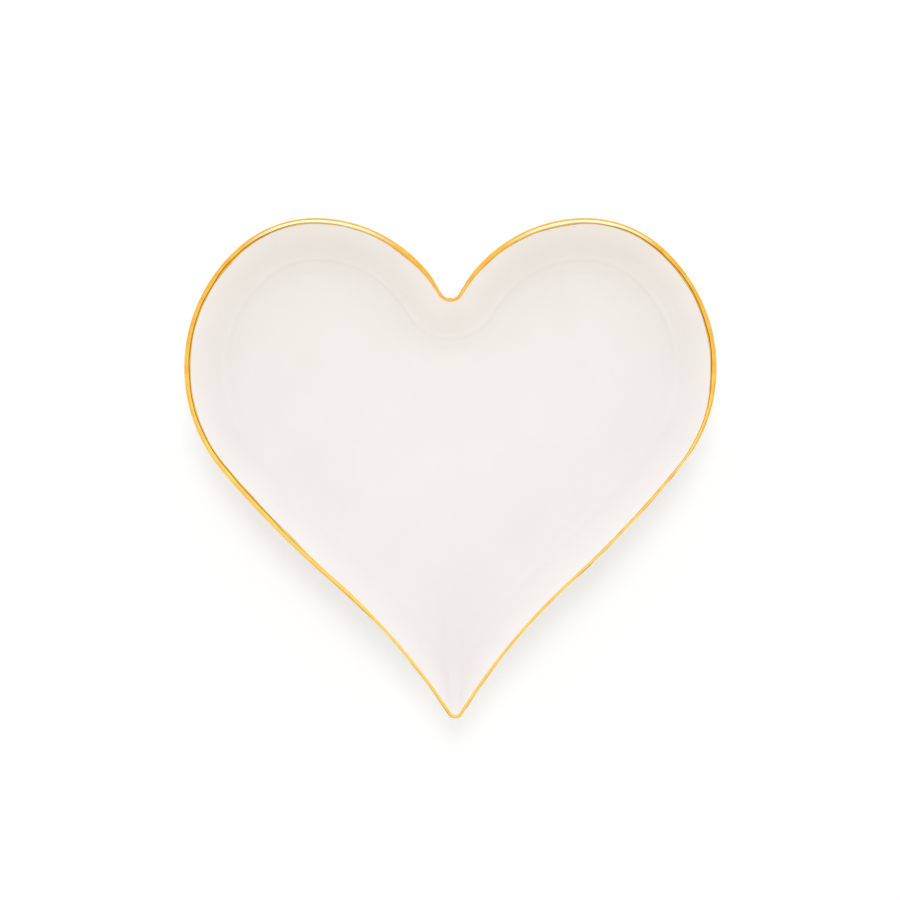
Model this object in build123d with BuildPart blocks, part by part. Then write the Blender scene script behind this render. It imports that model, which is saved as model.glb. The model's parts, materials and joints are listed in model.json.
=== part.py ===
"""Heart-shaped trinket dish with a gilded lip.

A shallow, open porcelain dish for rings and small jewellery. Its plan is a heart: two round lobes,
a cleft between them and a pointed tip. A flat floor turns up through a wide bend into a sloping wall
with a thin rounded lip, and the dish stands on a heart-shaped foot ring under the bend.

It is built up in layers, in the order in which they are fired:
  clay_body   the white clay, with its foot ring
  glaze_coat  the glaze over the inside, the lip and the outside, down to the foot
  base_glaze  the glaze under the floor, cut off from the rest by the wiped, bare foot
  gold_rim    the band of bright gold brushed round the lip

Frame: +Z is up and the dish stands on Z = 0. The origin is under the middle of the plan, +X is to
the right across the two lobes and -Y is towards the tip. All sizes are in millimetres and degrees.
"""

import os
from math import acos, asin, atan2, cos, degrees, radians, sin, sqrt, tan

from build123d import *

# Overall size
rim_width = 130.0  # across the two lobes, outside the lip
rim_length = 122.4  # from the tops of the lobes to the tip, outside the lip
height = 19.0  # from the table to the top of the lip

# Plan of the lip, which is a chain of tangent arcs
crown_radius = 28.0  # the arc over the top of a lobe
crown_turn = 40.0  # how far that arc turns before the cheek takes over
cheek_radius = 39.2  # the arc round the outside of a lobe
side_radius = 250.0  # the long, nearly straight side
side_turn = 8.7  # how far the side turns
side_lead = 2.5  # how far ahead of the straight line to the tip the side begins
cleft_depth = 19.5  # from the tops of the lobes down to the cleft
cleft_radius = 2.2  # the rounding at the bottom of the cleft
tip_radius = 2.4  # the rounding at the tip
tip_lean = 1.2  # the tip sits this far right of the cleft, as in a hand-finished piece

# Section of the dish
lip_thickness = 1.3
wall_thickness = 2.7  # of the floor, the bend and the lower wall
wall_slope = 60.0  # of the inside of the wall, above the horizontal
bend_radius = 12.0  # inside, between the floor and the wall
lip_rounding = 0.56  # radius on each edge of the lip, as a share of the lip's thickness
tip_opening = 0.22  # how much the rounding at the tip grows for each millimetre down the wall

# Foot ring
foot_height = 1.8
foot_width = 3.0
foot_inset = 13.0  # from the outside of the lip to the outside of the foot
foot_tip = 6.0  # the rounding at the foot's own tip
sole_rounding = 0.35

# Layers
glaze_thickness = 0.25
glaze_foot_gap = 0.7  # the glaze stops this far above the sole of the foot
gold_thickness = 0.12
gold_inside = 0.6  # how far the gold reaches below the lip, inside the dish
gold_outside = 1.6  # and outside

# The inside of the wall, from the lip down to the floor
lip_radius = lip_rounding * lip_thickness
lip_centre_z = height - lip_radius
floor_top = foot_height + wall_thickness
bend_centre_z = floor_top + bend_radius
wall_rise = height - floor_top - bend_radius * (1 - cos(radians(wall_slope)))
wall_run = wall_rise / tan(radians(wall_slope))
bend_centre_inset = lip_thickness + wall_run + bend_radius * sin(radians(wall_slope))
inner_lip_inset = lip_thickness - lip_radius * tan(radians(wall_slope / 2))

# The outside of the wall is the line that touches its own bend and the outer rounding of the lip
outer_radius = bend_radius + wall_thickness
lip_from_bend = bend_centre_inset - lip_radius
lip_to_bend = sqrt(lip_from_bend**2 + (lip_centre_z - bend_centre_z) ** 2)
lip_above_bend = degrees(atan2(lip_centre_z - bend_centre_z, lip_from_bend))
outside_slope = 90 + lip_above_bend - degrees(acos((outer_radius - lip_radius) / lip_to_bend))

# The middle of the foot's width, and of the floor's thickness
foot_middle = foot_inset + foot_width / 2
floor_middle = foot_height + wall_thickness / 2

# The middles of the lobes
lobe_reach = crown_radius * sin(radians(crown_turn)) + cheek_radius * (1 - sin(radians(crown_turn)))
lobe_x = rim_width / 2 - lobe_reach
lobe_y = rim_length / 2

# Sections of the lofts
BEND_STEPS = 6
WALL_STEPS = 2
LIP_STEPS = 5


def polar(angle):
    """The unit vector at an angle in degrees."""
    return Vector(cos(radians(angle)), sin(radians(angle)))


def angle_of(vector):
    """The angle of a vector in degrees."""
    return degrees(atan2(vector.Y, vector.X))


def lip_arcs(lean):
    """The arcs of the lip's right half, from the cleft to the tip, each as (centre, radius, from, to).

    A negative radius is a hollow arc, whose centre is outside the heart. Lean is how far right the
    tip is. Moving the whole outline inwards by d takes d from every radius and moves no centre.
    """
    inner_radius = (lobe_x**2 + cleft_depth**2 - 2 * cleft_radius * cleft_depth) / (2 * cleft_depth)
    inner = Vector(lobe_x, lobe_y - inner_radius)
    crown = Vector(lobe_x, lobe_y - crown_radius)
    cheek_from = 90 - crown_turn
    cheek = crown + polar(cheek_from) * (crown_radius - cheek_radius)
    tip = Vector(lean, tip_radius - rim_length / 2)

    # The outer tangent of the cheek and the rounding at the tip is what the side leads.
    span = cheek - tip
    tangent = angle_of(span) - degrees(asin((cheek_radius - tip_radius) / span.length))
    side_from = tangent - 90 + side_lead
    side_to = side_from - side_turn
    side = cheek + polar(side_from) * (cheek_radius - side_radius)
    side_end = side + polar(side_to) * side_radius

    # The hollow flare leaves the side and touches the rounding at the tip.
    gap = side_end - tip
    flare_radius = (gap.dot(gap) - tip_radius**2) / (2 * (tip_radius - gap.dot(polar(side_to))))
    flare = side_end + polar(side_to) * flare_radius
    cleft = Vector(0, lobe_y - cleft_depth + cleft_radius)
    return [
        (cleft, -cleft_radius, -90, angle_of(inner - cleft)),
        (inner, inner_radius, angle_of(cleft - inner), 90),
        (crown, crown_radius, 90, cheek_from),
        (cheek, cheek_radius, cheek_from, side_from),
        (side, side_radius, side_from, side_to),
        (flare, -flare_radius, side_to + 180, angle_of(tip - flare)),
    ]


RIGHT_ARCS = lip_arcs(tip_lean)
LEFT_ARCS = lip_arcs(-tip_lean)


def tip_centre(inset, rounding):
    """The centre of the rounding that touches both flares, when they are moved inwards by inset."""
    right, right_reach = RIGHT_ARCS[-1][0], inset - RIGHT_ARCS[-1][1] + rounding
    left, left_reach = LEFT_ARCS[-1][0], inset - LEFT_ARCS[-1][1] + rounding
    left = Vector(-left.X, left.Y)
    across = right - left
    along = (across.dot(across) + left_reach**2 - right_reach**2) / (2 * across.length)
    aside = sqrt(left_reach**2 - along**2)
    unit = across.normalized()
    return left + unit * along + Vector(-unit.Y, unit.X) * aside


def heart(inset, rounding, z):
    """The outline of the lip moved inwards by inset, with that rounding at the tip, as a face at z."""
    tip = tip_centre(inset, rounding)
    with BuildSketch(Plane.XY.offset(z)) as face:
        with BuildLine():
            for arcs, mirrored in ((RIGHT_ARCS, 1), (LEFT_ARCS, -1)):
                near = Vector(tip.X * mirrored, tip.Y)
                for number, (centre, radius, start, end) in enumerate(arcs):
                    if number == len(arcs) - 1:
                        end = angle_of(near - centre)
                    if mirrored < 0:
                        centre, start, end = Vector(-centre.X, centre.Y), 180 - start, 180 - end
                    turn = (end - start + 180) % 360 - 180
                    CenterArc(centre, abs(radius - inset), start, turn)
            right_end = angle_of(RIGHT_ARCS[-1][0] - tip)
            left_end = angle_of(Vector(-LEFT_ARCS[-1][0].X, LEFT_ARCS[-1][0].Y) - tip)
            CenterArc(tip, rounding, right_end, (left_end - right_end - 180) % 360 - 180)
        make_face()
    return face.sketch


def turn_levels(centre_inset, centre_z, radius, start, end, steps):
    """Inset and height of points round an arc, by their angle from straight below its centre."""
    angles = [radians(start + (end - start) * step / steps) for step in range(steps + 1)]
    return [(centre_inset - radius * sin(angle), centre_z - radius * cos(angle)) for angle in angles]


def wall_sections(radius, slope, top):
    """Sections from the flat round the bend and up the wall to top, where the rounding of the lip starts."""
    found = turn_levels(bend_centre_inset, bend_centre_z, radius, 0, slope, BEND_STEPS)
    foot = found[-1]
    for step in range(1, WALL_STEPS + 1):
        share = step / WALL_STEPS
        found.append((foot[0] + (top[0] - foot[0]) * share, foot[1] + (top[1] - foot[1]) * share))
    return [heart(inset, tip_radius - top[0] + tip_opening * (top[1] - z), z) for inset, z in found]


def dish(skin):
    """The dish as one solid, every surface but the sole of its foot moved into the clay by skin."""
    outer_lip = turn_levels(lip_radius, lip_centre_z, lip_radius - skin, outside_slope, 180, LIP_STEPS)
    inner_lip = turn_levels(inner_lip_inset, lip_centre_z, skin - lip_radius, wall_slope, 0, LIP_STEPS)
    with BuildPart() as body:
        # The outside, from under the floor round the bend and up to the lip
        loft(wall_sections(outer_radius - skin, outside_slope, outer_lip[0]))
        loft([heart(inset, tip_radius - inset, z) for inset, z in outer_lip])

        # The hollow, from the floor up and out through the lip
        loft(wall_sections(bend_radius + skin, wall_slope, inner_lip[0]), mode=Mode.SUBTRACT)
        loft([heart(inset, tip_radius - inset, z) for inset, z in inner_lip], mode=Mode.SUBTRACT)

        # The foot ring, which runs up into the thickness of the bend
        with BuildSketch():
            add(heart(foot_inset + skin, foot_tip - skin, 0))
            add(heart(foot_inset + foot_width - skin, foot_tip - foot_width + skin, 0), mode=Mode.SUBTRACT)
        extrude(amount=floor_middle)
        fillet(body.edges().group_by(Axis.Z)[0], sole_rounding)
    return body.part


clay_shape = dish(gold_thickness + glaze_thickness)
glazed_shape = dish(gold_thickness)
gilded_shape = dish(0)

# The clay, which carries everything else
with BuildPart() as clay_body:
    add(clay_shape)
clay_body.part.label = "clay_body"

# The glaze over the inside, the lip and the outside
with BuildPart() as glaze_coat:
    add(glazed_shape)
    add(clay_shape, mode=Mode.SUBTRACT)
    with BuildSketch():
        add(heart(-2, tip_radius + 2, 0))
    extrude(amount=glaze_foot_gap, mode=Mode.SUBTRACT)
    with BuildSketch():
        add(heart(foot_middle, foot_tip - foot_width / 2, 0))
    extrude(amount=floor_middle, mode=Mode.SUBTRACT)
glaze_coat.part.label = "glaze_coat"

# The glaze under the floor, inside the foot ring
with BuildPart() as base_glaze:
    with BuildSketch(Plane.XY.offset(glaze_foot_gap)):
        add(heart(foot_middle, foot_tip - foot_width / 2, glaze_foot_gap))
    extrude(amount=floor_middle - glaze_foot_gap)
    add(glazed_shape, mode=Mode.INTERSECT)
    add(clay_shape, mode=Mode.SUBTRACT)
base_glaze.part.label = "base_glaze"

# The gold, which hugs the lip and reaches further down outside than in
with BuildPart() as gold_rim:
    add(gilded_shape)
    add(glazed_shape, mode=Mode.SUBTRACT)
    with BuildSketch(Plane.XY.offset(height + 1)):
        add(heart(-2, tip_radius + 2, height + 1))
    extrude(amount=-(1 + gold_outside), mode=Mode.INTERSECT)
    with BuildSketch(Plane.XY.offset(height - gold_inside)):
        add(heart(lip_thickness / 2, tip_radius - lip_thickness / 2, height - gold_inside))
    extrude(amount=-gold_outside, mode=Mode.SUBTRACT)
gold_rim.part.label = "gold_rim"

os.makedirs("parts", exist_ok=True)
export_step(clay_body.part, "parts/clay_body.step")
export_step(glaze_coat.part, "parts/glaze_coat.step")
export_step(base_glaze.part, "parts/base_glaze.step")
export_step(gold_rim.part, "parts/gold_rim.step")
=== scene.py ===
# %% [markdown]
# # A heart-shaped trinket dish
# This is a small open dish for rings. It is cast in white clay, dipped in a clear glossy glaze and then
# edged with bright gold, which is brushed on by hand and fired once more. The solids of the dish come from
# a CAD model, and here its surfaces are modelled again, as smooth sheets that show the glaze and the gold.

import json
from math import acos, asin, atan2, cos, degrees, hypot, radians, sin, sqrt, tan

import bmesh
import bpy
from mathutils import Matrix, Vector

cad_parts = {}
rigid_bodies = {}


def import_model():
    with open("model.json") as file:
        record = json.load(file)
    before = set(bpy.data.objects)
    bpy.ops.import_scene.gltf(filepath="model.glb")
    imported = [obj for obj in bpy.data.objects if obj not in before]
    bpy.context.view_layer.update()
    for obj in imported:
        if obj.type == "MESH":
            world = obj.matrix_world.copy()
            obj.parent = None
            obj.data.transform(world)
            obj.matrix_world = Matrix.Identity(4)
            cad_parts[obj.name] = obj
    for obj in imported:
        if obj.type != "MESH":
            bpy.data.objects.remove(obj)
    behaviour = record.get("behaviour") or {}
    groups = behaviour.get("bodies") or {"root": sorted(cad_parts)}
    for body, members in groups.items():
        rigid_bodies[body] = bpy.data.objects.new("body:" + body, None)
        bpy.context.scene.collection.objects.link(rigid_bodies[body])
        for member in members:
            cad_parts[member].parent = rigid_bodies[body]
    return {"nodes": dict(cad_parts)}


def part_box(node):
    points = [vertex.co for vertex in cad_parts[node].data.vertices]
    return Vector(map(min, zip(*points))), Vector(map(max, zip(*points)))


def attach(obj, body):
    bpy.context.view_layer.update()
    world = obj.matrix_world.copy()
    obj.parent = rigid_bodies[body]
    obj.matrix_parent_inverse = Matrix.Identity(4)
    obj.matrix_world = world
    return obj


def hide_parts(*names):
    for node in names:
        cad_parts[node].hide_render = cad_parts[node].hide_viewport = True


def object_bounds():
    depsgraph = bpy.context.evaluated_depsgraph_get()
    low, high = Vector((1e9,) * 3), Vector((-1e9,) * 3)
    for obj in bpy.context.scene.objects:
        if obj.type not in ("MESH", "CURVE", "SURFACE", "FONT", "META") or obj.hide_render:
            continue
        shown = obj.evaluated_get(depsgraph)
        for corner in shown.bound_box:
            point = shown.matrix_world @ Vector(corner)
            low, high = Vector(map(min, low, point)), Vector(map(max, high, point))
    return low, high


bpy.ops.object.select_all(action="SELECT")
bpy.ops.object.delete()
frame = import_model()
cad_low, cad_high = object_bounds()
MM = 0.001
WIDTH = cad_high[0] - cad_low[0]
LENGTH = cad_high[1] - cad_low[1]
HEIGHT = cad_high[2]
print(f"The dish is {WIDTH / MM:.1f} x {LENGTH / MM:.1f} x {HEIGHT / MM:.1f} mm")

# %% [markdown]
# ## The outline
# A heart can be drawn freehand with a Bezier curve, but the maker of a mould draws it with compasses, as
# arcs that run smoothly into each other: the cleft, the inner side of a lobe, its crown, its cheek, the
# long side and a hollow flare to the tip. Arcs have a great advantage here. When the outline is moved
# inwards, each arc keeps its centre and only its radius changes, so every level of the dish can be drawn
# with the same few centres. The tip of this dish leans a little to the right, so the two halves differ.

# %% The arcs of one half, as (x, y, radius, first angle, last angle)
CROWN, CHEEK, SIDE, CLEFT, TIP = 28.0 * MM, 39.2 * MM, 250.0 * MM, 2.2 * MM, 2.4 * MM
CROWN_TURN, SIDE_LEAD, SIDE_TURN = 40, 2.5, 8.7
CLEFT_DEPTH = 19.5 * MM
TIP_LEAN = 1.2 * MM
LOBE_X = WIDTH / 2 - CROWN * sin(radians(CROWN_TURN)) - CHEEK * (1 - sin(radians(CROWN_TURN)))


def half_heart(lean):
    inner = (LOBE_X**2 + CLEFT_DEPTH**2 - 2 * CLEFT * CLEFT_DEPTH) / (2 * CLEFT_DEPTH)
    inner_y = LENGTH / 2 - inner
    cleft_y = LENGTH / 2 - CLEFT_DEPTH + CLEFT
    crown_to = 90 - CROWN_TURN
    cheek_x = LOBE_X - (CHEEK - CROWN) * cos(radians(crown_to))
    cheek_y = LENGTH / 2 - CROWN - (CHEEK - CROWN) * sin(radians(crown_to))
    tip_y = TIP - LENGTH / 2

    # The side leads the line that touches both the cheek and the tip by a few degrees.
    dx, dy = cheek_x - lean, cheek_y - tip_y
    side_from = degrees(atan2(dy, dx) - asin((CHEEK - TIP) / hypot(dx, dy))) - 90 + SIDE_LEAD
    side_to = side_from - SIDE_TURN
    side_x = cheek_x - (SIDE - CHEEK) * cos(radians(side_from))
    side_y = cheek_y - (SIDE - CHEEK) * sin(radians(side_from))
    end_x = side_x + SIDE * cos(radians(side_to))
    end_y = side_y + SIDE * sin(radians(side_to))

    # The hollow flare leaves the side and touches the rounding at the tip.
    gap_x, gap_y = end_x - lean, end_y - tip_y
    along = gap_x * cos(radians(side_to)) + gap_y * sin(radians(side_to))
    flare = (gap_x**2 + gap_y**2 - TIP**2) / (2 * (TIP - along))
    flare_x = end_x + flare * cos(radians(side_to))
    flare_y = end_y + flare * sin(radians(side_to))
    cleft_to = degrees(atan2(inner_y - cleft_y, LOBE_X))
    return [
        (0, cleft_y, -CLEFT, -90, cleft_to),
        (LOBE_X, inner_y, inner, cleft_to + 180, 90),
        (LOBE_X, LENGTH / 2 - CROWN, CROWN, 90, crown_to),
        (cheek_x, cheek_y, CHEEK, crown_to, side_from),
        (side_x, side_y, SIDE, side_from, side_to),
        (flare_x, flare_y, -flare, side_to + 180, None),
    ]


RIGHT = half_heart(TIP_LEAN)
LEFT = [
    (-x, y, radius, 180 - start, None if end is None else 180 - end)
    for x, y, radius, start, end in half_heart(-TIP_LEAN)
]
# How many steps each arc is drawn with, from the cleft to the flare, and the rounding at the tip.
STEPS = [5, 16, 8, 26, 10, 20]
TIP_STEPS = 8
print("Arc radii in mm:", [round(arc[2] / MM, 1) for arc in RIGHT])

# %% [markdown]
# The two flares run into each other at the tip, where a small arc joins them. On each level of the dish
# that arc touches both flares, so its centre is as far from both of theirs, give or take their radii. That
# is the corner of a triangle with three known sides.

# %% The arcs of a whole level, in the order in which they are drawn
def level_arcs(inset, rounding):
    """Arcs as (x, y, first angle, last angle, steps), from the cleft down the right side and back."""
    (rx, ry, rr), (lx, ly, lr) = RIGHT[-1][:3], LEFT[-1][:3]
    right, left, apart = inset - rr + rounding, inset - lr + rounding, hypot(rx - lx, ry - ly)
    along = (apart**2 + left**2 - right**2) / (2 * apart)
    aside = sqrt(left**2 - along**2)
    ux, uy = (rx - lx) / apart, (ry - ly) / apart
    tip_x, tip_y = lx + ux * along - uy * aside, ly + uy * along + ux * aside

    right_end = degrees(atan2(tip_y - ry, tip_x - rx))
    left_end = degrees(atan2(tip_y - ly, tip_x - lx))
    arcs = []
    for (x, y, _, start, end), steps in zip(RIGHT, STEPS):
        arcs.append((x, y, start, right_end if end is None else end, steps))
    arcs.append((tip_x, tip_y, right_end + 180, left_end + 180, TIP_STEPS))
    for (x, y, _, start, end), steps in reversed(list(zip(LEFT, STEPS))):
        arcs.append((x, y, left_end if end is None else end, start, steps))
    return arcs


# %% [markdown]
# ## Drawing a level with Spin
# Spin turns the selected vertices round a centre and joins each step to the last, so one vertex leaves an
# arc behind it. A chain of spins, each from where the last one ended, draws the whole outline. Levels
# that are drawn with the same number of steps can then be bridged into a clean sheet of four-sided faces.
# Each vertex also remembers how far along the section it lies, from 0 to 1, so that a material can tell
# the edge of a sheet from its middle.

# %% Draw levels and bridge them
def draw_level(number, share, inset, rounding, z):
    """Draws one closed outline at z, moved inwards by inset and with that rounding at its tip."""
    cleft_x, cleft_y, cleft = RIGHT[0][:3]
    bpy.ops.mesh.primitive_circle_add(vertices=3, radius=MM)
    outline = bpy.context.object
    bpy.ops.object.mode_set(mode="EDIT")
    bpy.ops.mesh.select_mode(type="VERT")
    bpy.ops.mesh.merge(type="CENTER")
    bpy.ops.transform.translate(value=(cleft_x, cleft_y + cleft - inset, z))
    for x, y, first, last, steps in level_arcs(inset, rounding):
        swept = (last - first + 180) % 360 - 180
        bpy.ops.mesh.spin(steps=steps, angle=-radians(swept), center=(x, y, z), axis=(0, 0, 1))
    bpy.ops.mesh.select_all(action="SELECT")
    bpy.ops.mesh.remove_doubles(threshold=0.002 * MM)
    bpy.ops.object.mode_set(mode="OBJECT")
    count = len(outline.data.vertices)
    level = outline.data.attributes.new("level", "INT", "POINT")
    level.data.foreach_set("value", [number] * count)
    section = outline.data.attributes.new("section", "FLOAT", "POINT")
    section.data.foreach_set("value", [share] * count)
    return outline


def select_levels(sheet, *numbers):
    bpy.ops.mesh.select_all(action="DESELECT")
    mesh = bmesh.from_edit_mesh(sheet.data)
    level = mesh.verts.layers.int["level"]
    for edge in mesh.edges:
        first, last = (vertex[level] for vertex in edge.verts)
        edge.select_set(first == last and first in numbers)
    bmesh.update_edit_mesh(sheet.data)


def bridged_sheet(name, levels, top=1):
    """A sheet through all the levels. Its highest faces look up, or down if top is -1."""
    bpy.ops.object.select_all(action="DESELECT")
    outlines = []
    for number, (inset, rounding, z) in enumerate(levels, 1):
        outlines.append(draw_level(number, (number - 1) / (len(levels) - 1), inset, rounding, z))
    for outline in outlines:
        outline.select_set(True)
    sheet = bpy.context.object
    bpy.ops.object.join()
    sheet.name = sheet.data.name = name
    bpy.ops.object.transform_apply(location=True, rotation=True, scale=True)

    bpy.ops.object.mode_set(mode="EDIT")
    bpy.ops.mesh.select_mode(type="EDGE")
    for number in range(1, len(levels)):
        select_levels(sheet, number, number + 1)
        bpy.ops.mesh.bridge_edge_loops()
    bpy.ops.mesh.select_all(action="SELECT")
    bpy.ops.mesh.normals_make_consistent(inside=False)
    bpy.ops.object.mode_set(mode="OBJECT")
    highest = max(sheet.data.polygons, key=lambda face: face.center.z)
    if highest.normal.z * top < 0:
        bpy.ops.object.mode_set(mode="EDIT")
        bpy.ops.mesh.flip_normals()
        bpy.ops.object.mode_set(mode="OBJECT")
    bpy.ops.object.shade_smooth()
    print(f"{name}: {len(levels)} levels, {len(sheet.data.polygons)} faces")
    return sheet


# %% [markdown]
# ## The section
# Cut across its wall, the dish is a short list of arcs and straight lines too. Inside, a flat floor turns
# up through a wide bend into a wall at 60 degrees. The lip is rounded over, the outside runs down beside
# the inside, and it turns under to the foot ring. The wall is the same clay all the way, so the inside
# and outside bends share a centre.

# %% The sizes of the section
LIP_THICKNESS, LIP_RADIUS = 1.3 * MM, 0.728 * MM
TIP_OPENING = 0.22
WALL, BEND, SLOPE = 2.7 * MM, 12.0 * MM, radians(60)
FOOT_HEIGHT, FOOT_WIDTH, FOOT_INSET, FOOT_TIP = 1.8 * MM, 3.0 * MM, 13.0 * MM, 6.0 * MM
FLOOR = FOOT_HEIGHT + WALL
BEND_Z = FLOOR + BEND
BEND_INSET = LIP_THICKNESS + (HEIGHT - FLOOR - BEND * (1 - cos(SLOPE))) / tan(SLOPE) + BEND * sin(SLOPE)
LIP_Z = HEIGHT - LIP_RADIUS
INNER_LIP = LIP_THICKNESS - LIP_RADIUS * tan(SLOPE / 2)
LIP_TO_BEND = hypot(BEND_INSET - LIP_RADIUS, LIP_Z - BEND_Z)
OUTER_SLOPE = radians(90) + atan2(LIP_Z - BEND_Z, BEND_INSET - LIP_RADIUS)
OUTER_SLOPE -= acos((BEND + WALL - LIP_RADIUS) / LIP_TO_BEND)
print(f"Floor at {FLOOR / MM:.1f} mm, outside wall at {degrees(OUTER_SLOPE):.0f} degrees")


# %% Points round the section
def turn(inset, z, radius, start, end, steps):
    """Points round an arc of the section, by their angle from straight below its centre."""
    angles = [start + (end - start) * step / steps for step in range(steps + 1)]
    return [(inset - radius * sin(angle), z - radius * cos(angle)) for angle in angles]


def straight(first, last, steps):
    """Points between two points of the section, without those two."""
    shares = [step / steps for step in range(1, steps)]
    return [(first[0] + (last[0] - first[0]) * s, first[1] + (last[1] - first[1]) * s) for s in shares]


def with_tips(points, lip_inset, lip_z):
    """Adds the rounding at the tip, which opens out down the wall."""
    return [(inset, TIP - lip_inset + TIP_OPENING * max(0, lip_z - z), z) for inset, z in points]


def inside_levels(skin):
    """From the edge of the floor up to the top of the lip, for a surface skin deep."""
    bend = turn(BEND_INSET, BEND_Z, BEND + skin, 0, SLOPE, 8)
    lip = turn(INNER_LIP, LIP_Z, skin - LIP_RADIUS, SLOPE, 0, 4)
    wall = with_tips(bend + straight(bend[-1], lip[0], 5), *lip[0])
    return wall + [(inset, TIP - inset, z) for inset, z in lip]


def outside_levels(skin, last_angle):
    """From the top of the lip down the outside and round the bend to last_angle."""
    lip = turn(LIP_RADIUS, LIP_Z, LIP_RADIUS - skin, radians(180), OUTER_SLOPE, 6)
    bend = turn(BEND_INSET, BEND_Z, BEND + WALL - skin, OUTER_SLOPE, last_angle, 7)
    wall = with_tips(straight(lip[-1], bend[0], 4) + bend, *lip[-1])
    return [(inset, TIP - inset, z) for inset, z in lip] + wall


# %% [markdown]
# ## The glaze
# The glaze is a quarter of a millimetre of glass melted over the clay. It covers the inside, the lip and
# the outside in one sheet, down to a line just above the sole of the foot, which is wiped bare so that
# the dish doesn't stick to the kiln shelf. The sheet is drawn where the surface of the glaze is, and a
# Solidify modifier gives it its thickness, inwards to the clay. Melted glaze never lies quite even, so a
# very soft Displace comes first: less than a tenth of a millimetre, which only shows in the reflections.
# It leaves out the floor, which is closed with one flat face. Levels at exactly the same height would
# bridge with a twist, so each level of the floor lies a hair lower than the one outside it.

# %% Model the coat of glaze
GOLD_FILM = 0.12 * MM  # the surface of the glaze lies this far below the outermost surface
GLAZE_FILM = 0.25 * MM
GLAZE_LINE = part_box("glaze_coat")[0].z
EDGE_WIDTH, EDGE_HEIGHT = 0.06 * MM, 0.12 * MM
FLOOR_SLOPE = 0.002
foot_out = FOOT_INSET + GOLD_FILM
bend_at_foot = asin((BEND_INSET - foot_out + 0.8 * MM) / (BEND + WALL - GOLD_FILM))
outside = outside_levels(GOLD_FILM, bend_at_foot)
corner_z = outside[-1][2]
foot_side = [
    (foot_out - 0.05 * MM, FOOT_TIP, corner_z - 0.13 * MM),
    (foot_out, FOOT_TIP - GOLD_FILM, corner_z - 0.50 * MM),
    (foot_out, FOOT_TIP - GOLD_FILM, GLAZE_LINE + EDGE_HEIGHT),
    (foot_out + EDGE_WIDTH, FOOT_TIP - 2 * GOLD_FILM, GLAZE_LINE),
]
inside = inside_levels(GOLD_FILM)
floor = [
    (BEND_INSET + more, inside[0][1] + 0.3 * more, FLOOR - GOLD_FILM - FLOOR_SLOPE * more)
    for more in (8.0 * MM, 5.5 * MM, 3.2 * MM, 1.6 * MM, 0.5 * MM)
]
glaze = bridged_sheet("glaze", floor + inside + outside[1:] + foot_side)


# %% Finish the coat with modifiers
def add_modifier(sheet, kind, **settings):
    """Adds a modifier with its settings and applies it."""
    bpy.ops.object.select_all(action="DESELECT")
    bpy.context.view_layer.objects.active = sheet
    sheet.select_set(True)
    modifier = sheet.modifiers.new(kind.title(), kind)
    for name, value in settings.items():
        setattr(modifier, name, value)
    bpy.ops.object.modifier_apply(modifier=modifier.name)


def soft_noise(name, size):
    """A cloud texture for Displace, with features of that size."""
    texture = bpy.data.textures.new(name, "CLOUDS")
    texture.noise_scale = size
    texture.noise_depth = 1
    return texture


def close_flat(sheet, low, high):
    """Puts a face over the open edge that lies between the heights low and high."""
    bpy.context.view_layer.objects.active = sheet
    bpy.ops.object.mode_set(mode="EDIT")
    bpy.ops.mesh.select_mode(type="EDGE")
    bpy.ops.mesh.select_all(action="DESELECT")
    mesh = bmesh.from_edit_mesh(sheet.data)
    for edge in mesh.edges:
        edge.select_set(edge.is_boundary and all(low < vertex.co.z < high for vertex in edge.verts))
    bmesh.update_edit_mesh(sheet.data)
    bpy.ops.mesh.edge_face_add()
    bpy.ops.object.mode_set(mode="OBJECT")


def ramp(value, start, end):
    """0 up to start, 1 from end on, and even in between."""
    return min(1, max(0, (value - start) / (end - start)))


def weigh(sheet, name, weight_at):
    """Makes a vertex group. weight_at gives a weight for x, y, z and the share of the section."""
    group = sheet.vertex_groups.new(name=name)
    section = sheet.data.attributes["section"].data
    for vertex in sheet.data.vertices:
        group.add([vertex.index], weight_at(*vertex.co, section[vertex.index].value), "REPLACE")


weigh(glaze, "uneven", lambda x, y, z, share: ramp(abs(z - FLOOR), 0.3 * MM, 3 * MM))
add_modifier(glaze, "SUBSURF", levels=1, render_levels=1)
add_modifier(glaze, "DISPLACE", texture=soft_noise("melted", 22 * MM), texture_coords="LOCAL",
             strength=0.10 * MM, vertex_group="uneven")
close_flat(glaze, FLOOR - 1 * MM, FLOOR + 1 * MM)

# %% [markdown]
# ## Glaze under the floor
# Inside the foot ring the glaze makes a separate shallow pool, cut off from the rest by the bare sole.
# It climbs the inner side of the foot with a soft round corner, where it ran together as it melted.

# %% Model the glaze under the floor
foot_in = FOOT_INSET + FOOT_WIDTH - GOLD_FILM
foot_in_tip = FOOT_TIP - FOOT_WIDTH + GOLD_FILM
under = FOOT_HEIGHT + GOLD_FILM
FOOT_CORNER = 0.3 * MM
corner = turn(foot_in + FOOT_CORNER, under - FOOT_CORNER, -FOOT_CORNER, radians(-90), 0, 4)
base_levels = [(foot_in - EDGE_WIDTH, GLAZE_LINE), (foot_in, GLAZE_LINE + EDGE_HEIGHT)]
base_levels += corner + [(foot_in + 0.8 * MM, under + 0.01 * MM), (foot_in + 1.6 * MM, under + 0.02 * MM)]
base_levels = [(inset, foot_in_tip + 0.4 * (inset - foot_in), z) for inset, z in base_levels]
base_glaze = bridged_sheet("glaze_under_floor", base_levels, top=-1)
add_modifier(base_glaze, "SUBSURF", levels=1, render_levels=1)
close_flat(base_glaze, under - 0.1 * MM, under + 0.1 * MM)
add_modifier(base_glaze, "SOLIDIFY", thickness=GLAZE_FILM, offset=-1)

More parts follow.
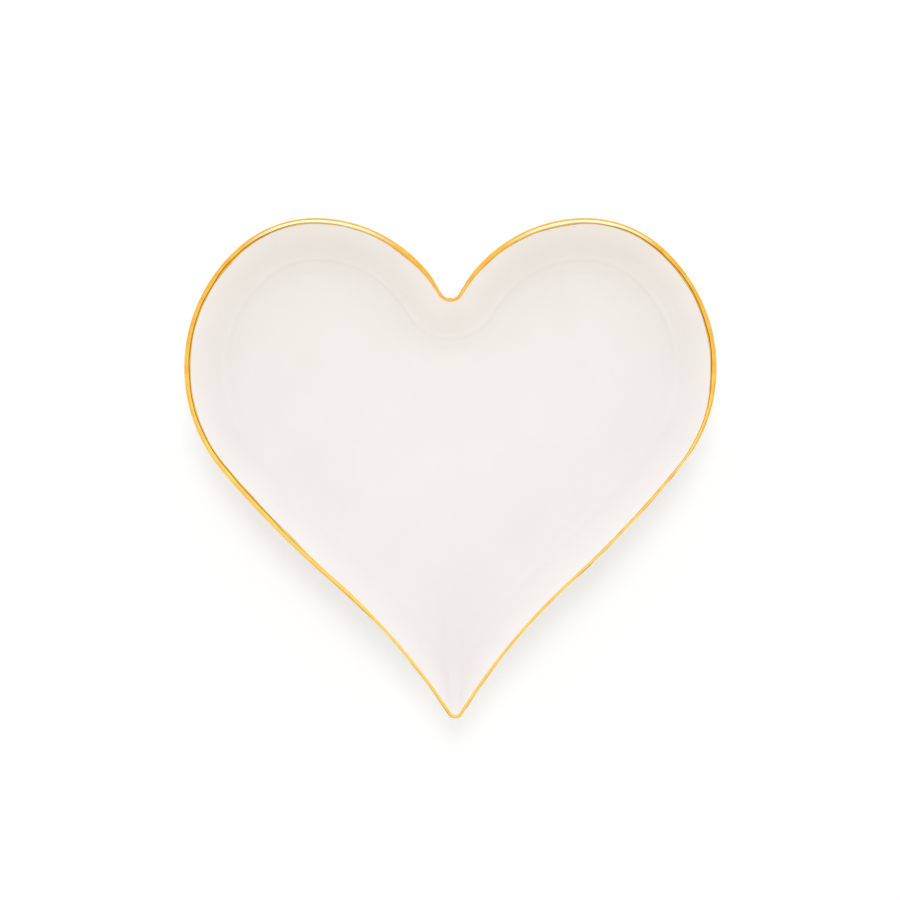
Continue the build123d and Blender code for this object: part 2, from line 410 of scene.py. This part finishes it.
# %% [markdown]
# ## The gold
# Fired gold is a film far thinner than a hair, so it has no shape of its own: it takes that of the lip.
# The band is drawn a hair's breadth above the glaze. Its two edges are where the brush went, so they
# waver, and a Displace that only acts near the edges moves them up and down. Shrinkwrap then lays
# everything back onto the glaze, where points that meet are merged, and Solidify sinks the band into it.

# %% Model the gold
FILM_TOP = 0.06 * MM
INSIDE_REACH = 0.12 * MM
lip_in = turn(INNER_LIP, LIP_Z, FILM_TOP - LIP_RADIUS, SLOPE, 0, 4)
lip_out = turn(LIP_RADIUS, LIP_Z, LIP_RADIUS - FILM_TOP, radians(180), OUTER_SLOPE, 6)
in_edge = (lip_in[0][0] + INSIDE_REACH, lip_in[0][1] - INSIDE_REACH * tan(SLOPE))
gold_drop = lip_out[-1][1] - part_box("gold_rim")[0].z
out_edge = (lip_out[-1][0] + gold_drop / tan(OUTER_SLOPE), lip_out[-1][1] - gold_drop)
gold_points = [in_edge] + lip_in + lip_out[1:] + straight(lip_out[-1], out_edge, 3) + [out_edge]
gold_levels = [(inset, TIP - inset, z) for inset, z in gold_points]
gold = bridged_sheet("gold_band", gold_levels)


# %% Brush the gold on
def thin_gold(x, y, z, share):
    """The brush kept close to the lip at the tip, down the right side and in the cleft."""
    tip = ramp(-y, 15 * MM, 40 * MM)
    right_side = ramp(x, 6 * MM, 20 * MM) * ramp(-y, -22 * MM, -2 * MM)
    cleft = ramp(-abs(x), -9 * MM, -3 * MM) * ramp(y, 30 * MM, 35 * MM)
    return max(tip, right_side, cleft) * ramp(-share, -0.4, 0)


weigh(gold, "thin", thin_gold)
weigh(gold, "edges", lambda x, y, z, share: max(ramp(-share, -0.2, 0), ramp(share, 0.8, 1)))
add_modifier(gold, "SUBSURF", levels=1, render_levels=1)
add_modifier(gold, "DISPLACE", direction="Z", strength=1.5 * MM, mid_level=0, vertex_group="thin")
add_modifier(gold, "DISPLACE", texture=soft_noise("brush", 9 * MM), texture_coords="LOCAL",
             direction="Z", strength=0.9 * MM, vertex_group="edges")
add_modifier(gold, "SHRINKWRAP", target=glaze, wrap_method="NEAREST_SURFACEPOINT",
             wrap_mode="ABOVE_SURFACE", offset=FILM_TOP)
bpy.ops.object.mode_set(mode="EDIT")
bpy.ops.mesh.select_mode(type="VERT")
bpy.ops.mesh.select_all(action="SELECT")
bpy.ops.mesh.remove_doubles(threshold=0.01 * MM)
bpy.ops.object.mode_set(mode="OBJECT")
add_modifier(gold, "SOLIDIFY", thickness=2 * FILM_TOP, offset=-1)
print(f"Gold: {len(gold.data.polygons)} faces")

# %% Give the coat its thickness, now that the gold lies on it
add_modifier(glaze, "SOLIDIFY", thickness=GLAZE_FILM, offset=-1)
print(f"Glaze: {len(glaze.data.polygons)} faces")

# %% [markdown]
# ## Materials
# Colours are picked as sRGB hex values, as in a paint program, but the shaders count light in linear
# values, so one function converts them. One more function adds a node with its settings and links.

# %% Helpers for materials
def linear(hex_colour):
    """An sRGB hex colour as linear red, green, blue and alpha."""
    parts = [int(hex_colour[i:i + 2], 16) / 255 for i in (1, 3, 5)]
    return [c / 12.92 if c <= 0.04045 else ((c + 0.055) / 1.055) ** 2.4 for c in parts] + [1]


def add_node(tree, kind, inputs=None, **settings):
    """Adds a node. Each of its inputs is given a value, or a link if the value is another node's output."""
    node = tree.nodes.new("ShaderNode" + kind)
    for name, value in settings.items():
        setattr(node, name, value)
    for name, value in (inputs or {}).items():
        if isinstance(value, bpy.types.NodeSocket):
            tree.links.new(value, node.inputs[name])
        else:
            node.inputs[name].default_value = value
    return node


def new_material(name):
    material = bpy.data.materials.new(name)
    material.use_nodes = True
    material.node_tree.nodes.clear()
    return material, material.node_tree


# %% [markdown]
# ### Glossy glaze
# The white comes from the clay, and the glaze is clear glass over it. To the eye that is one surface:
# a pale body colour under a hard, wet-looking gloss. The glaze is a shade deeper in broad soft patches,
# where it lies thicker, and its surface has the faint ripple of something that melted and set.

# %% Glossy glaze
glaze_material, tree = new_material("clear_glaze_over_white_clay")
place = add_node(tree, "TexCoord").outputs["Object"]
patches = add_node(tree, "TexNoise", {"Vector": place, "Scale": 1 / (14 * MM), "Detail": 3.0})
ripple = add_node(tree, "TexNoise", {"Vector": place, "Scale": 1 / (7 * MM), "Detail": 1.0})
thickness = add_node(tree, "MapRange", {
    "Value": patches.outputs["Fac"], "From Min": 0.35, "From Max": 0.65})
body = add_node(tree, "Mix", {"Factor": thickness.outputs["Result"]}, data_type="RGBA")
body.inputs["A"].default_value = linear("#F5F0EE")
body.inputs["B"].default_value = linear("#F4EEEC")
bump = add_node(tree, "Bump", {"Height": ripple.outputs["Fac"], "Distance": 0.02 * MM, "Strength": 1.0})
shader = add_node(tree, "BsdfPrincipled", {
    "Base Color": body.outputs["Result"], "Roughness": 0.07, "IOR": 1.5, "Normal": bump.outputs["Normal"]})
add_node(tree, "OutputMaterial", {"Surface": shader.outputs["BSDF"]})

# %% [markdown]
# ### Fired gold
# Bright gold is painted on as a brown syrup and fires to a mirror-like film. It shows the strokes of the
# brush as slightly deeper streaks. It is a shade deeper towards the lobes, and the outside of the lip is
# deeper still, which is painted shade. Along the top of the lip on the lobes lies a pale painted highlight,
# and at the sides a brown line near the inner edge is a painted reflection.

# %% Fired gold
gold_material, tree = new_material("fired_bright_gold")
place = add_node(tree, "TexCoord").outputs["Object"]
share = add_node(tree, "Attribute", attribute_name="section").outputs["Fac"]
streaks = add_node(tree, "TexNoise", {"Vector": place, "Scale": 1 / (3 * MM), "Detail": 4.0}).outputs["Fac"]
split = add_node(tree, "SeparateXYZ", {"Vector": place}).outputs
# Painted shade: the outer side of the lip is made a deeper gold.
outer_painted_shade = add_node(tree, "MapRange", {"Value": share, "From Min": 0.45, "From Max": 0.70, "To Max": 0.6})
lobes = add_node(tree, "MapRange", {
    "Value": split["Y"], "From Min": 5 * MM, "From Max": 35 * MM, "To Max": 0.6})
depth = add_node(tree, "MapRange", {"Value": streaks, "From Min": 0.40, "From Max": 0.65, "To Max": 0.4})
depth = add_node(tree, "Math", {0: outer_painted_shade.outputs["Result"], 1: depth.outputs["Result"]}, operation="ADD")
depth = add_node(
    tree, "Math", {0: depth.outputs[0], 1: lobes.outputs["Result"]}, operation="ADD", use_clamp=True)
strong = add_node(tree, "Mix", {"Factor": depth.outputs[0]}, data_type="RGBA")
strong.inputs["A"].default_value = linear("#FAD268")
strong.inputs["B"].default_value = linear("#ECAE45")
# Painted highlight: a pale band along the crest of the lip on top of the lobes.
tops = add_node(tree, "MapRange", {"Value": split["Y"], "From Min": 54 * MM, "From Max": 59 * MM})
crest = add_node(tree, "Math", {0: share, 1: 0.29, 2: 0.12}, operation="COMPARE")
painted_highlight = add_node(tree, "Math", {0: tops.outputs["Result"], 1: crest.outputs[0]}, operation="MULTIPLY")
tone = add_node(tree, "Mix", {"Factor": painted_highlight.outputs[0]}, data_type="RGBA")
tree.links.new(strong.outputs["Result"], tone.inputs["A"])
tone.inputs["B"].default_value = linear("#FFF6D2")

# Painted reflection: a brown line near the inner edge of the gold, at the sides of the dish.
sway = add_node(tree, "TexNoise", {"Vector": place, "Scale": 1 / (9 * MM), "Detail": 2.0}).outputs["Fac"]
middle = add_node(tree, "MapRange", {
    "Value": sway, "From Min": 0.3, "From Max": 0.7, "To Min": 0.12, "To Max": 0.24})
line = add_node(tree, "Math", {0: share, 1: middle.outputs["Result"], 2: 0.045}, operation="COMPARE")
off_centre = add_node(tree, "Math", {0: split["X"]}, operation="ABSOLUTE")
sides = add_node(tree, "MapRange", {
    "Value": off_centre.outputs[0], "From Min": 26 * MM, "From Max": 44 * MM, "To Max": 0.9})
painted_reflection_line = add_node(tree, "Math", {0: line.outputs[0], 1: sides.outputs["Result"]}, operation="MULTIPLY")
colour = add_node(tree, "Mix", {"Factor": painted_reflection_line.outputs[0]}, data_type="RGBA")
tree.links.new(tone.outputs["Result"], colour.inputs["A"])
colour.inputs["B"].default_value = linear("#8A580C")
rough = add_node(tree, "MapRange", {"Value": streaks, "To Min": 0.06, "To Max": 0.16})
shader = add_node(tree, "BsdfPrincipled", {
    "Base Color": colour.outputs["Result"], "Metallic": 1.0, "Roughness": rough.outputs["Result"]})
add_node(tree, "OutputMaterial", {"Surface": shader.outputs["BSDF"]})

# %% [markdown]
# ### Bare clay
# The sole of the foot is fired clay with no glaze on it: matt, a little warmer than the glazed white,
# and finely gritty to the touch.

# %% Bare clay
clay_material, tree = new_material("bare_white_earthenware")
place = add_node(tree, "TexCoord").outputs["Object"]
grit = add_node(tree, "TexNoise", {"Vector": place, "Scale": 1 / (0.35 * MM), "Detail": 4.0})
tint = add_node(tree, "Mix", {"Factor": grit.outputs["Fac"]}, data_type="RGBA")
tint.inputs["A"].default_value = linear("#E4DCCD")
tint.inputs["B"].default_value = linear("#F1EBE0")
bump = add_node(tree, "Bump", {"Height": grit.outputs["Fac"], "Distance": 0.04 * MM, "Strength": 1.0})
shader = add_node(tree, "BsdfPrincipled", {
    "Base Color": tint.outputs["Result"], "Roughness": 0.9, "Normal": bump.outputs["Normal"]})
add_node(tree, "OutputMaterial", {"Surface": shader.outputs["BSDF"]})

# %% [markdown]
# ## Putting it together
# Each sheet gets its material, stands in for one solid of the CAD model and rides on the same body. The
# clay needs no new sheet: all but the sole of its foot lies under the glaze, so its solid is used as it is.

# %% Put the materials on
clay = frame["nodes"]["clay_body"]
for piece, material in (
    (glaze, glaze_material),
    (base_glaze, glaze_material),
    (gold, gold_material),
    (clay, clay_material),
):
    piece.data.materials.clear()
    piece.data.materials.append(material)

for piece, node, slot in (
    (glaze, "glaze_coat", "glossy_white_glaze"),
    (base_glaze, "base_glaze", "glossy_white_glaze"),
    (gold, "gold_rim", "gold_lustre"),
):
    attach(piece, "root")
    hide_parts(node)

# %% [markdown]
# ## The table
# The dish stands on a white table. Seen by the camera the table burns out to pure white, and it is painted
# brighter on its far half than on its near one, which is painted light, so that only the soft shadow close
# to the dish shows. Reflections see the same white, and for all other light it is ordinary white board.

# %% A white table
bpy.ops.object.select_all(action="DESELECT")
bpy.ops.mesh.primitive_plane_add(size=3)
table = bpy.context.object
table.name = "table"
table_material, tree = new_material("white_board")
path = add_node(tree, "LightPath").outputs
seen = add_node(tree, "Math", {0: path["Is Camera Ray"], 1: path["Is Glossy Ray"]}, operation="MAXIMUM")
seen = add_node(tree, "Math", {0: seen.outputs[0], 1: path["Is Transmission Ray"]}, operation="MAXIMUM")
board = add_node(tree, "BsdfDiffuse", {"Color": linear("#E8E8E8")})
place = add_node(tree, "TexCoord").outputs["Object"]
split = add_node(tree, "SeparateXYZ", {"Vector": place}).outputs
# Painted light: the table is made brighter towards its far half.
beyond = add_node(tree, "MapRange", {"Value": split["Y"], "From Min": 5 * MM, "From Max": 45 * MM})
white = add_node(tree, "Mix", {"Factor": beyond.outputs["Result"]}, data_type="RGBA")
white.inputs["A"].default_value = (1.05, 1.04, 1.06, 1)
white.inputs["B"].default_value = (1.24, 1.24, 1.26, 1)
shown = add_node(tree, "BsdfDiffuse", {"Color": white.outputs["Result"]})
surface = add_node(tree, "MixShader", {0: seen.outputs[0], 1: board.outputs[0], 2: shown.outputs[0]})
add_node(tree, "OutputMaterial", {"Surface": surface.outputs[0]})
table.data.materials.append(table_material)

# %% [markdown]
# ## Light
# The light is that of a white tent that glows about twice as brightly at its sides as at its top, so that
# the steep walls are nearly as bright as the floor. The side beyond the lobes is daylight, and the near
# side is a little warmer. One soft lamp stands high beyond the lobes and casts the short shadow.

# %% Light
world = bpy.data.worlds.new("white_tent")
bpy.context.scene.world = world
world.use_nodes = True
tree = world.node_tree
tree.nodes.clear()
direction = add_node(tree, "TexCoord").outputs["Generated"]
split = add_node(tree, "SeparateXYZ", {"Vector": direction}).outputs
glow = add_node(tree, "MapRange", {"Value": split["Z"], "To Min": 1.36, "To Max": 0.64})
side = add_node(tree, "MapRange", {"Value": split["Y"], "From Min": -0.8, "From Max": 0.8})
tint = add_node(tree, "Mix", {"Factor": side.outputs["Result"]}, data_type="RGBA")
tint.inputs["A"].default_value = (1.0, 1.0, 0.90, 1)
tint.inputs["B"].default_value = (1.03, 1.05, 1.10, 1)
sky = add_node(tree, "Background", {"Color": tint.outputs["Result"], "Strength": glow.outputs["Result"]})
add_node(tree, "OutputWorld", {"Surface": sky.outputs[0]})

lamp = bpy.data.lights.new("soft_box", "AREA")
lamp.size = 0.4
lamp.energy = 1.7
soft_box = bpy.data.objects.new("soft_box", lamp)
bpy.context.scene.collection.objects.link(soft_box)
soft_box.location = (0, 0.42, 1.0)
soft_box.rotation_euler = (radians(-23), 0, 0)
soft_box.visible_glossy = False

# %% [markdown]
# Polished gold shows little but what stands round it, and in an all-white tent it looks flat. A studio
# hangs cards round the table, out of view, for the reflections. Here a bright card hangs overhead and
# lights up the top of the lip. A narrow brown screen hangs round the near side, and the glaze shows it as
# a faint broad band inside the lobes. Both are seen by reflections only, so they cast no light or shadow.

# %% Cards that only the reflections see
def reflect_only(card, name, colour, strength):
    card.name = name
    material, tree = new_material(name)
    shine = add_node(tree, "Emission", {"Color": colour, "Strength": strength})
    add_node(tree, "OutputMaterial", {"Surface": shine.outputs[0]})
    card.data.materials.append(material)
    card.visible_camera = card.visible_diffuse = card.visible_shadow = False


bpy.ops.object.select_all(action="DESELECT")
bpy.ops.mesh.primitive_plane_add(size=1.8, location=(0, 0.25, 1.0))
reflect_only(bpy.context.object, "bright_card", (1.0, 0.99, 0.97, 1), 1.12)

bpy.ops.object.select_all(action="DESELECT")
bpy.ops.mesh.primitive_cylinder_add(
    vertices=96, radius=0.5, depth=0.07, end_fill_type="NOTHING", location=(0, 0, 0.23))
screen = bpy.context.object
bpy.ops.object.mode_set(mode="EDIT")
bpy.ops.mesh.select_mode(type="FACE")
mesh = bmesh.from_edit_mesh(screen.data)
for face in mesh.faces:
    face.select_set(face.calc_center_median().y > 0)
bmesh.update_edit_mesh(screen.data)
bpy.ops.mesh.delete(type="FACE")
bpy.ops.object.mode_set(mode="OBJECT")
reflect_only(screen, "brown_screen", linear("#9A5A1C"), 1.0)

# %% [markdown]
# ## Camera
# The camera looks straight down. A fairly long lens keeps the perspective weak, so that the walls slope in
# only a little more than they do in plan. Its distance is worked out from FIELD, the width of what it
# sees at the height of the lip.

# %% Camera straight above the dish
lens = bpy.data.cameras.new("camera")
lens.lens, lens.sensor_width = 85, 36
camera = bpy.data.objects.new("camera", lens)
bpy.context.scene.collection.objects.link(camera)
bpy.context.scene.camera = camera
FIELD = 219.1 * MM
camera.location = (-0.1 * MM, 4.5 * MM, HEIGHT + FIELD * lens.lens / lens.sensor_width)

scene = bpy.context.scene
scene.view_settings.view_transform = "Standard"
